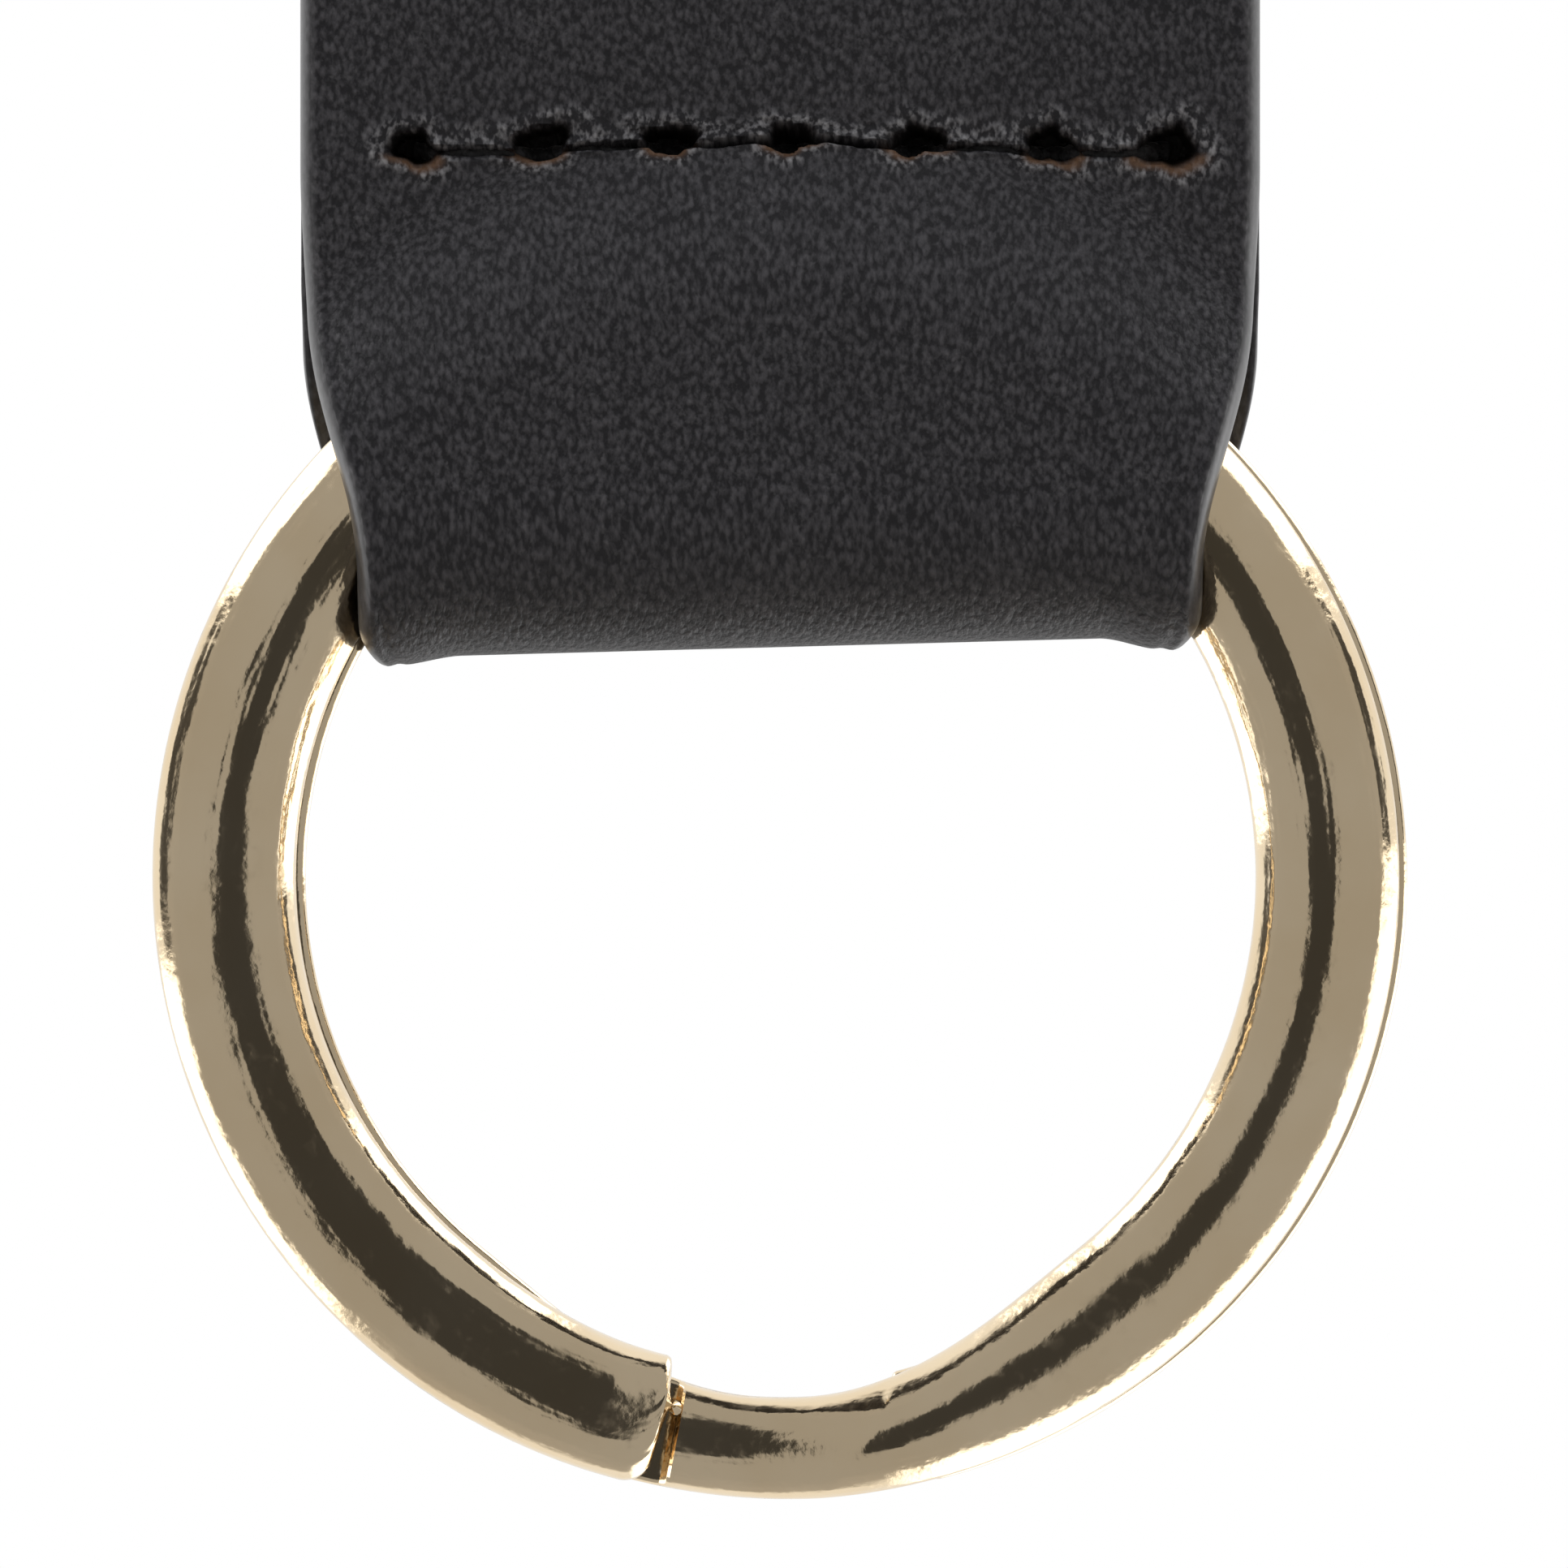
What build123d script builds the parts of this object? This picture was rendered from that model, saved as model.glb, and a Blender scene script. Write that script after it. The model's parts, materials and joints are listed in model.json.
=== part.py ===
"""Irish martingale: a short doubled leather strap with a split ring held in each end.

Each rein runs through one ring, so the strap keeps the pair of reins together. The strap is
one strip of leather. Its two ends are turned back through the rings, are laid along the
strip's back face and meet edge to edge at mid-length. Four rows of lock stitch hold the two
plies together: one row close to each ring and one on each side of the butt joint.

Frame, in millimetres: the origin is the centre of the upper ring's eye, +Z points up, X runs
across the strap's width and the strap's face looks towards -Y. The martingale hangs straight
down from the upper ring.
"""

import os
from math import cos, radians, sin, sqrt, tan

from build123d import *

os.makedirs("parts", exist_ok=True)

# ---------------------------------------------------------------- driving dimensions
strap_width = 25.0  # width of the leather strip
ply = 1.8  # thickness of the leather
ring_spacing = 132.0  # from the centre of one ring to the centre of the other
edge_round = 0.5  # rounding of the strap's outer edges

ring_ease = 0.0  # what the ring's eye is wider than the strap
wire_width = 3.75  # of the flattened wire, across the ring
ring_thickness = 3.7  # of both turns together, along Y
turn_gap = 0.1  # between the two turns
wire_flank = 0.45  # straight edge of the half-round wire
cut_end_angle = 12.0  # from the crossing to the cut end of a turn, in degrees
cut_end_gap = 1.0  # from a cut end to the crossing wire, in degrees
neck_depth = 1.1  # what the eye widens by where the wire crosses over
lower_crossing = -90.0  # where the crossing lies round each ring, from +X towards +Z
upper_crossing = 55.0

pocket_ease = 0.35  # from the ring's faces to the sides of its pocket
ring_clearance = 0.25  # least gap from the ring to the fold at its corners
fold_taper = 1.6  # what each edge of the strap draws in by at the fold
fold_corner = 1.2  # rounding of the fold's two corners
stitch_above_ring = 2.72  # from a ring's outer edge to the row of stitches beside it
pocket_above_row = 1.2  # from the row of stitches to where the two plies part
joint_stitch_distance = 9.0  # from the butt joint to the rows beside it

stitch_count = 6
stitch_pitch = 3.28
row_offset = 0.39  # of the rows from the middle of the strap
thread = 0.7  # diameter of the thread
thread_clearance = 0.05
groove_depth = 0.5  # of the crease that the stitches lie in

loop_flex_above_row = 7.5  # from a ring's row of stitches to the line where the strap flexes
loop_flex_range = 30.0  # each way, in degrees
strap_bend_range = 45.0
flex_gap = 0.15  # from a line of flexing to the leather on each side of it

# ---------------------------------------------------------------- derived sizes
half_width = strap_width / 2
ring_inner_r = half_width + ring_ease
ring_middle_r = ring_inner_r + wire_width / 2
ring_outer_r = ring_inner_r + wire_width
turn_height = (ring_thickness - turn_gap) / 2

# The strap is as wide as the eye, so its fold rests where the eye is as wide as the fold.
fold_half_width = half_width - fold_taper
fold_bottom = sqrt(ring_inner_r**2 - fold_half_width**2) - ring_clearance
pocket_r = ring_thickness / 2 + pocket_ease
fold_centre = fold_bottom + ply + pocket_r
pocket_shoulder = ring_middle_r + wire_width / 6

stitch_row = ring_outer_r + stitch_above_ring
pocket_close = stitch_row - pocket_above_row
loop_flex = stitch_row + loop_flex_above_row
upper_centre = (0, 0, 0)
lower_centre = (0, 0, -ring_spacing)
middle = -ring_spacing / 2
ring_row_z = stitch_row - ring_spacing
loop_flex_z = loop_flex - ring_spacing
joint_row_z = middle - joint_stitch_distance
hole_xs = [row_offset + (i - stitch_count / 2) * stitch_pitch for i in range(stitch_count + 1)]


def relief(flex_range):
    """How far the outer face of a ply stands back, so that it closes at the end of the range."""
    return ply * tan(radians(flex_range / 2))


# ---------------------------------------------------------------- split rings
def across_wire(centre, angle):
    """The plane that cuts the wire square: x points away from the ring's axis, y to the front."""
    turn = radians(angle)
    return Plane(origin=centre, x_dir=(cos(turn), 0, sin(turn)), z_dir=(sin(turn), 0, -cos(turn)))


def wire_section(centre, angle, level, inner_r):
    """Half-round wire: level is 1 in the front turn, -1 in the back turn and 0 half-way."""
    centre_y = level * (turn_gap + turn_height) / 2
    low = centre_y - turn_height / 2 + (turn_height - wire_flank) * (1 - level) / 2
    high = low + wire_flank
    with BuildSketch(across_wire(centre, angle)) as section:
        with BuildLine():
            Line((inner_r, low), (inner_r, high))
            Line((ring_outer_r, low), (ring_outer_r, high))
            for y, crown in ((high, centre_y + turn_height / 2), (low, centre_y - turn_height / 2)):
                if abs(crown - y) > wire_flank / 10:
                    ThreePointArc((inner_r, y), ((inner_r + ring_outer_r) / 2, crown), (ring_outer_r, y))
                else:
                    Line((inner_r, y), (ring_outer_r, y))
        make_face()
    return section.sketch


def split_ring(label, centre, crossing):
    """One wire wound into two turns: it crosses from one to the other between its cut ends."""
    axis = Axis(centre, (0, -1, 0))
    turn_arc = 360 - 2 * cut_end_angle - cut_end_gap
    front, crossed, back = (
        wire_section(centre, crossing + level * cut_end_angle, level, inner_r)
        for level, inner_r in ((1, ring_inner_r), (0, ring_inner_r + neck_depth), (-1, ring_inner_r))
    )
    with BuildPart() as ring:
        revolve(front, axis=axis, revolution_arc=turn_arc)
        revolve(back, axis=axis, revolution_arc=-turn_arc)
        loft([front, crossed, back])
    ring.part.label = label
    return ring


# ---------------------------------------------------------------- leather
def stitch_holes(row_z):
    """Needle holes through both plies, and the crease in each face that the thread lies in."""
    hole_r = thread / 2 + thread_clearance
    with BuildSketch(Plane.XZ.offset(-2 * ply)) as holes:
        with Locations(*[(x, row_z) for x in hole_xs]):
            Circle(hole_r)
    extrude(holes.sketch, amount=4 * ply, mode=Mode.SUBTRACT)
    for face_y in (-ply, ply):
        with Locations((row_offset, face_y, row_z)):
            Box(hole_xs[-1] - hole_xs[0] + 2 * hole_r, 2 * groove_depth, 2 * hole_r, mode=Mode.SUBTRACT)


def strap_loop(label):
    """The end of the strap that is folded round the lower ring."""
    outer_r = pocket_r + ply
    flare = pocket_r / (pocket_close - pocket_shoulder)
    mitre = ply * (sqrt(1 + flare**2) - 1) / flare
    flex_edge = loop_flex - flex_gap
    with BuildPart() as loop:
        # The fold seen edge-on, measured upwards from the ring's centre.
        with BuildSketch(Plane((-half_width, 0, -ring_spacing), x_dir=(0, 1, 0), z_dir=(1, 0, 0))):
            with BuildLine():
                ThreePointArc((-outer_r, fold_centre), (0, fold_bottom), (outer_r, fold_centre))
                for side in (-1, 1):
                    Polyline(
                        (side * outer_r, fold_centre),
                        (side * outer_r, pocket_shoulder + mitre),
                        (side * ply, pocket_close + mitre),
                        (side * ply, flex_edge - relief(loop_flex_range)),
                        (0, flex_edge),
                    )
            make_face()
            with BuildLine():
                ThreePointArc((-pocket_r, fold_centre), (0, fold_bottom + ply), (pocket_r, fold_centre))
                Polyline(
                    (-pocket_r, fold_centre),
                    (-pocket_r, pocket_shoulder),
                    (0, pocket_close),
                    (pocket_r, pocket_shoulder),
                    (pocket_r, fold_centre),
                )
            make_face(mode=Mode.SUBTRACT)
        extrude(amount=strap_width)
        # Its outline from the front: the edges draw in to let the fold into the eye.
        with BuildSketch(Plane((0, outer_r, -ring_spacing), x_dir=(1, 0, 0), z_dir=(0, -1, 0))) as outline:
            with BuildLine():
                Polyline(
                    (-fold_half_width, fold_bottom),
                    (-fold_half_width, fold_centre),
                    (-half_width, ring_middle_r),
                    (-half_width, loop_flex),
                    (half_width, loop_flex),
                    (half_width, ring_middle_r),
                    (fold_half_width, fold_centre),
                    (fold_half_width, fold_bottom),
                    close=True,
                )
            make_face()
            fillet(outline.vertices().group_by(Axis.Y)[0], fold_corner)
        extrude(amount=2 * outer_r, mode=Mode.INTERSECT)
        # Room for the ring to slide round in the pocket.
        with BuildSketch(across_wire(lower_centre, -90)):
            inner, outer = ring_inner_r - ring_clearance, ring_outer_r + ring_clearance
            flank = turn_gap / 2 + wire_flank + ring_clearance
            crown = ring_thickness / 2 + ring_clearance
            with BuildLine():
                for side in (-1, 1):
                    ThreePointArc((inner, side * flank), (ring_middle_r, side * crown), (outer, side * flank))
                for radius in (inner, outer):
                    Line((radius, -flank), (radius, flank))
            make_face()
        revolve(axis=Axis(lower_centre, (0, -1, 0)), mode=Mode.SUBTRACT)
        stitch_holes(ring_row_z)
    loop.part.label = label
    return loop


def strap_ply(label, side):
    """One ply of the lower half, from mid-length to the loop: side is -1 in front, 1 behind."""
    top = middle - flex_gap
    bottom = loop_flex_z + flex_gap
    with BuildPart() as length:
        with BuildSketch(Plane.YZ.offset(-half_width)):
            with BuildLine():
                Polyline(
                    (0, top),
                    (side * ply, top - relief(strap_bend_range)),
                    (side * ply, bottom + relief(loop_flex_range)),
                    (0, bottom),
                    close=True,
                )
            make_face()
        extrude(amount=strap_width)
        outer_edges = length.edges().filter_by(Axis.Z).sort_by(Axis.Y)
        fillet(outer_edges[:2] if side < 0 else outer_edges[-2:], edge_round)
        stitch_holes(joint_row_z)
    length.part.label = label
    return length


# ---------------------------------------------------------------- stitching
def row_thread(label, side, row_z):
    """One of the two threads of a lock-stitched row: they hook round each other in the leather."""
    lie = side * (ply - groove_depth + thread / 2 + thread_clearance)
    hook = side * thread_clearance
    with BuildPart() as row:
        with BuildSketch(Plane.XZ.offset(-hook)):
            with Locations(*[(x, row_z) for x in hole_xs]):
                Circle(thread / 2)
        extrude(amount=hook - lie)
        with BuildSketch(Plane.YZ.offset(hole_xs[0])):
            with Locations((lie, row_z)):
                Circle(thread / 2)
        extrude(amount=hole_xs[-1] - hole_xs[0])
        for x in hole_xs:
            with Locations((x, lie, row_z)):
                Sphere(thread / 2)
    row.part.label = label
    return row


# ---------------------------------------------------------------- assembly
def upper_half(piece):
    """The same piece in the upper half of the strap, which mirrors the lower half."""
    with BuildPart() as twin:
        mirror(piece.part, about=Plane.XY.offset(middle))
    twin.part.label = piece.part.label.replace("lower", "upper")
    return twin


lower_pieces = [
    strap_loop("lower_loop"),
    strap_ply("lower_face_ply", -1),
    strap_ply("lower_back_ply", 1),
]
for row_name, row_z in (("ring_row", ring_row_z), ("joint_row", joint_row_z)):
    lower_pieces.append(row_thread(f"lower_{row_name}_needle_thread", -1, row_z))
    lower_pieces.append(row_thread(f"lower_{row_name}_bobbin_thread", 1, row_z))

rings = [
    split_ring("upper_ring", upper_centre, upper_crossing),
    split_ring("lower_ring", lower_centre, lower_crossing),
]

for piece in rings + lower_pieces + [upper_half(piece) for piece in lower_pieces]:
    export_step(piece.part, f"parts/{piece.part.label}.step")
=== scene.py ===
import json
from math import atan, cos, pi, radians, sin

import bmesh
import bpy
import numpy as np
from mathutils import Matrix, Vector


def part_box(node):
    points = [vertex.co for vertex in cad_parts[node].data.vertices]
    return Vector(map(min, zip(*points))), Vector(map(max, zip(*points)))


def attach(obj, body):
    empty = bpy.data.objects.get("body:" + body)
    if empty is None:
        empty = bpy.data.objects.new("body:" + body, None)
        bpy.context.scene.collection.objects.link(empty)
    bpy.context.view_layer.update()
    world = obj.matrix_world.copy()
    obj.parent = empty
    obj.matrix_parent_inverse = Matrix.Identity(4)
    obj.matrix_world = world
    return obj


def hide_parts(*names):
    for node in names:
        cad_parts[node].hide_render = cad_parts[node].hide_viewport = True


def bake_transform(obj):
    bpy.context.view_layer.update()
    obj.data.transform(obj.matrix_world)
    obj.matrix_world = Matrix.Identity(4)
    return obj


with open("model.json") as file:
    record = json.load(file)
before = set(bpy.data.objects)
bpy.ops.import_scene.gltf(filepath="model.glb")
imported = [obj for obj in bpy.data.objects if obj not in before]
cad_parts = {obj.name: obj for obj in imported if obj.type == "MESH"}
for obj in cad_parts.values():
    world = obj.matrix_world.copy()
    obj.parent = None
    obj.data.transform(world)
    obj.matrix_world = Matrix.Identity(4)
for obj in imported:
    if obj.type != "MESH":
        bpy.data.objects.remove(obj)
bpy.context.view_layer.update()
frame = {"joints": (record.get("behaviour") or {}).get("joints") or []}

scene = bpy.context.scene

# ------------------------------------------------------------------ camera, light and floor
# The martingale hangs straight down in a white tent. The tent is bright behind it and grey at the
# sides, and it is dark round the opening that the camera looks through, as polished metal shows.
lower_ring_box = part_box("lower_ring")
lower_ring_centre = (lower_ring_box[0] + lower_ring_box[1]) / 2

FRAME_HEIGHT = 0.0409  # what the camera takes in, at the distance of the strap
CAMERA_DISTANCE = 0.42
AIM = lower_ring_centre + Vector((0.0001, 0, 0.0024))  # the lower ring hangs a little below the middle

camera_data = bpy.data.cameras.new("camera")
camera_data.sensor_width = 36.0
camera_data.lens = camera_data.sensor_width * CAMERA_DISTANCE / FRAME_HEIGHT
camera_data.clip_start = 0.01
camera_data.clip_end = 20.0
camera = bpy.data.objects.new("camera", camera_data)
camera.location = AIM + Vector((0, -CAMERA_DISTANCE, 0))
camera.rotation_euler = (radians(90), 0, 0)
scene.collection.objects.link(camera)
scene.camera = camera
scene.view_settings.view_transform = "Standard"


def wire_up(tree, *links):
    """Joins node sockets, each given as (from node, from socket, to node, to socket)."""
    for source, output, target, entry in links:
        tree.links.new(source.outputs[output], target.inputs[entry])


def math_node(tree, operation, *values, clamp=False):
    """A Math node whose inputs are numbers or (node, socket) pairs."""
    node = tree.nodes.new("ShaderNodeMath")
    node.operation = operation
    node.use_clamp = clamp
    for entry, value in enumerate(values):
        if isinstance(value, tuple):
            tree.links.new(value[0].outputs[value[1]], node.inputs[entry])
        else:
            node.inputs[entry].default_value = value
    return node


def ramp_node(tree, source, stops):
    """A Color Ramp from (node, socket), with (position, grey or colour) stops."""
    node = tree.nodes.new("ShaderNodeValToRGB")
    tree.links.new(source[0].outputs[source[1]], node.inputs["Fac"])
    elements = node.color_ramp.elements
    while len(elements) < len(stops):
        elements.new(0.5)
    for element, (position, value) in zip(elements, stops):
        element.position = position
        colour = value if isinstance(value, tuple) else (value, value, value)
        element.color = (*colour, 1.0)
    return node


def from_front(degrees):
    """Where a direction falls on a ramp, by its angle from the camera's side of the tent."""
    return degrees / 180


def round_tent(degrees):
    """Where a direction falls on a ramp, by its turn round the tent, from +X up towards +Z."""
    return (degrees + 180) / 360


def lit_spans(place, *spans):
    """Ramp stops for bright spans, each given as the angles where it starts, is full, fades and ends."""
    stops = []
    for start, full, fades, end in spans:
        stops += [(place(start), 0.0), (place(full), 1.0), (place(fades), 1.0), (place(end), 0.0)]
    return stops


CORE_WIDE = 0.40  # sine of the angle that the dark opening spans to each side
CORE_TALL = 0.66  # and the same upwards and downwards
PANEL_POWER = 1.7  # brightness of the lit panels
GAP_DARKNESS = 0.85  # how much of the walls' light is missing in the gaps between panels
GREY_WALL = (0.37, 0.367, 0.362)
world = bpy.data.worlds.new("tent")
scene.world = world
world.use_nodes = True
tent = world.node_tree
tent.nodes.clear()
direction = tent.nodes.new("ShaderNodeTexCoord")
split = tent.nodes.new("ShaderNodeSeparateXYZ")
wire_up(tent, (direction, "Generated", split, "Vector"))
towards_front = math_node(tent, "MULTIPLY", (split, "Y"), -1.0)
angle = math_node(tent, "ARCCOSINE", (towards_front, 0))
polar = math_node(tent, "DIVIDE", (angle, 0), pi)
turn = math_node(tent, "ARCTAN2", (split, "Z"), (split, "X"))
azimuth = math_node(tent, "MULTIPLY_ADD", (turn, 0), 0.5 / pi, 0.5)
walls = ramp_node(
    tent,
    (polar, 0),
    [
        (from_front(0), GREY_WALL),
        (from_front(70), GREY_WALL),
        (from_front(100), (0.43, 0.42, 0.41)),
        (from_front(112), 0.90),
    ],
)
panel_depth = ramp_node(tent, (polar, 0), lit_spans(from_front, (82, 89, 138, 146)))
gap_depth = ramp_node(tent, (polar, 0), lit_spans(from_front, (85, 90, 106, 110)))
panels = ramp_node(
    tent,
    (azimuth, 0),
    lit_spans(
        round_tent,
        (-174, -170, -140, -134),
        (-80, -74, -2, 2),
        (28, 31, 56, 61),
        (129, 132, 151, 154),
    ),
)
gaps = ramp_node(
    tent,
    (azimuth, 0),
    [
        (round_tent(-178), 1.0),
        (round_tent(-172), 0.0),
        (round_tent(-2), 0.0),
        (round_tent(3), 1.0),
        (round_tent(26), 1.0),
        (round_tent(30), 0.0),
        (round_tent(153), 0.0),
        (round_tent(157), 1.0),
    ],
)
across_core = math_node(tent, "DIVIDE", (split, "X"), CORE_WIDE)
up_core = math_node(tent, "DIVIDE", (split, "Z"), CORE_TALL)
across_squared = math_node(tent, "MULTIPLY", (across_core, 0), (across_core, 0))
off_core = math_node(tent, "MULTIPLY_ADD", (up_core, 0), (up_core, 0), (across_squared, 0))
core = ramp_node(tent, (off_core, 0), [(0.72, 0.88), (1.0, 0.0)])
in_front = math_node(tent, "GREATER_THAN", (towards_front, 0), 0.0)
core_share = math_node(tent, "MULTIPLY", (core, "Color"), (in_front, 0))
panel_light = math_node(tent, "MULTIPLY", (panels, "Color"), (panel_depth, "Color"))
gap_shade = math_node(tent, "MULTIPLY", (gaps, "Color"), (gap_depth, "Color"))
open_share = math_node(tent, "MULTIPLY_ADD", (gap_shade, 0), -GAP_DARKNESS, 1.0)
not_core = math_node(tent, "SUBTRACT", 1.0, (core_share, 0))
wall_share = math_node(tent, "MULTIPLY", (open_share, 0), (not_core, 0))
lit_walls = tent.nodes.new("ShaderNodeVectorMath")
lit_walls.operation = "SCALE"
wire_up(tent, (walls, "Color", lit_walls, 0), (wall_share, 0, lit_walls, "Scale"))
panel_power = math_node(tent, "MULTIPLY", (panel_light, 0), PANEL_POWER)
all_light = tent.nodes.new("ShaderNodeVectorMath")
all_light.operation = "ADD"
wire_up(tent, (lit_walls, 0, all_light, 0), (panel_power, 0, all_light, 1))
seen_light = tent.nodes.new("ShaderNodeBackground")
wire_up(tent, (all_light, 0, seen_light, "Color"))
backdrop = tent.nodes.new("ShaderNodeBackground")
backdrop.inputs["Color"].default_value = (1.0, 1.0, 1.0, 1.0)
rays = tent.nodes.new("ShaderNodeLightPath")
chosen = tent.nodes.new("ShaderNodeMixShader")
tent_output = tent.nodes.new("ShaderNodeOutputWorld")
wire_up(
    tent,
    (rays, "Is Camera Ray", chosen, 0),
    (seen_light, 0, chosen, 1),
    (backdrop, 0, chosen, 2),
    (chosen, 0, tent_output, "Surface"),
)

SOFTBOX_PLACE = Vector((-0.1, -0.55, 0.55))  # from the lower ring: in front, above, a little to the left
softbox = bpy.data.lights.new("softbox", "AREA")
softbox.shape = "RECTANGLE"
softbox.size = 0.7
softbox.size_y = 0.35
softbox.energy = 3.5
softbox_object = bpy.data.objects.new("softbox", softbox)
softbox_object.location = lower_ring_centre + SOFTBOX_PLACE
aim = lower_ring_centre - softbox_object.location
softbox_object.rotation_euler = aim.to_track_quat("-Z", "Y").to_euler()
softbox_object.visible_glossy = False  # the tent alone shows in the polished metal
scene.collection.objects.link(softbox_object)

FLOOR_GAP = 0.10  # from the lower ring to the floor
FLOOR_RADIUS = 1.9
bpy.ops.mesh.primitive_circle_add(
    vertices=96, radius=FLOOR_RADIUS, fill_type="NGON",
    location=(0, 0, lower_ring_box[0].z - FLOOR_GAP),
)
floor = bpy.context.object
floor.name = "floor"
floor.visible_glossy = False
floor_material = bpy.data.materials.new("pale_floor")
floor_material.use_nodes = True
floor_shader = floor_material.node_tree.nodes["Principled BSDF"]
floor_shader.inputs["Base Color"].default_value = (0.50, 0.455, 0.415, 1.0)
floor_shader.inputs["Roughness"].default_value = 0.9
floor.data.materials.append(floor_material)

# ------------------------------------------------------------------ split rings
# Each ring is one half-round wire, wound into two turns with their flat sides together, pressed,
# polished and plated in pale brass. Its ends are cut square. Between them the wire is pinched
# and crosses from the front turn to the back one. The ring was prised open to thread the strap in.
MM = 0.001
upper_ring_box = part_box("upper_ring")
upper_ring_centre = (upper_ring_box[0] + upper_ring_box[1]) / 2
RING_OUTER = (lower_ring_box[1].x - lower_ring_box[0].x) / 2 / MM
RING_THICKNESS = (lower_ring_box[1].y - lower_ring_box[0].y) / MM
WIRE_WIDTH = 3.75
TURN_GAP = 0.02  # between the two turns
WIRE_FLANK = 0.40  # straight part of the wire's edge, beside its flat side
FLAT_CORNER = 0.24  # rounding of the wire's two sharp corners
ROUND_DOME = 1.78  # power of the wire's rounded back: 2 is an ellipse, and more is squarer
FLAT_DOME = 2.35  # the same near the cut ends, where the press left the wire flatter
FLATTER_FROM = 225  # where the wire begins to be flatter, in degrees from the crossing
FLATTER_OVER = 105  # degrees over which it comes to the full
CROWN_SHIFT = 0.09  # bending the wire moved its crown towards the ring's centre
CUT_ANGLE = 12.0  # from the middle of the crossing to a cut end
END_SLOPE = 0.26  # how far a cut end is worn down
END_REACH = 1.45  # the length that this wear reaches
OUTER_CORNER = 0.70  # rounding of a cut end's two corners
INNER_CORNER = 0.22
CUT_BEVEL = 0.50  # width of the rounded edge round the cut face
BEVEL_STEPS = ((0.10, 0.04), (0.66, 0.74), (1.0, 1.0))  # its sections: share ahead, share inwards
NECK = 1.1  # what the pinched wire loses at its inner edge
NECK_REACH = 36.0  # degrees each side of the crossing that are pinched so
PINCH = 0.95  # height of the rounded back that the pinched wire keeps
FRONT_END_SPRUNG = 0.30  # how far outwards the front cut end lies
BACK_END_SPRUNG = 0.75
SPRUNG_REACH = 7.5  # the length of wire that turns outwards
RIDGE = 8.9  # where the bend into the crossing begins, at the middle of the wire
RIDGE_SLANT = 4.9  # the bend begins earlier at the inner edge, and later at the outer
RIDGE_WORN = 0.12  # share of its height that the wire has lost at the bend
RIDGE_REGAINS = 4.5  # degrees in which it regains most of that
BACK_TURN_SHIFT = 0.22  # the back turn sits that much to the right of the front one
LOWER_CROSSING = -90.0  # where the crossing is on each ring, from +X towards +Z
UPPER_CROSSING = 55.0

RING_INNER = RING_OUTER - WIRE_WIDTH
TURN_HEIGHT = RING_THICKNESS / 2 - TURN_GAP / 2


def eased(value):
    """0 below 0 and 1 above 1, with a smooth step between."""
    share = np.clip(value, 0.0, 1.0)
    return share * share * (3 - 2 * share)


def rounding(distance, radius):
    """How far a rounded corner lies inside a square one, at that distance from the end."""
    short = np.clip(radius - distance, 0.0, radius)
    return radius - np.sqrt(radius**2 - short**2)


def skin(name, rows, sharp=28.0):
    """A closed smooth mesh over an array of sections, each a loop of points in millimetres."""
    count, across = rows.shape[:2]
    start = np.arange(count - 1)[:, None] * across
    here = np.arange(across)[None, :]
    there = (here + 1) % across
    following = start + across
    quads = np.stack([start + here, start + there, following + there, following + here], axis=-1)
    faces = quads.reshape(-1, 4).tolist()
    faces += [list(range(across))[::-1], list(range((count - 1) * across, count * across))]
    mesh = bpy.data.meshes.new(name)
    mesh.from_pydata((rows.reshape(-1, 3) * MM).tolist(), [], faces)
    shell = bmesh.new()
    shell.from_mesh(mesh)
    bmesh.ops.recalc_face_normals(shell, faces=shell.faces)
    shell.to_mesh(mesh)
    shell.free()
    mesh.shade_smooth()
    mesh.set_sharp_from_angle(angle=radians(sharp))
    piece = bpy.data.objects.new(name, mesh)
    scene.collection.objects.link(piece)
    return piece


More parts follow.
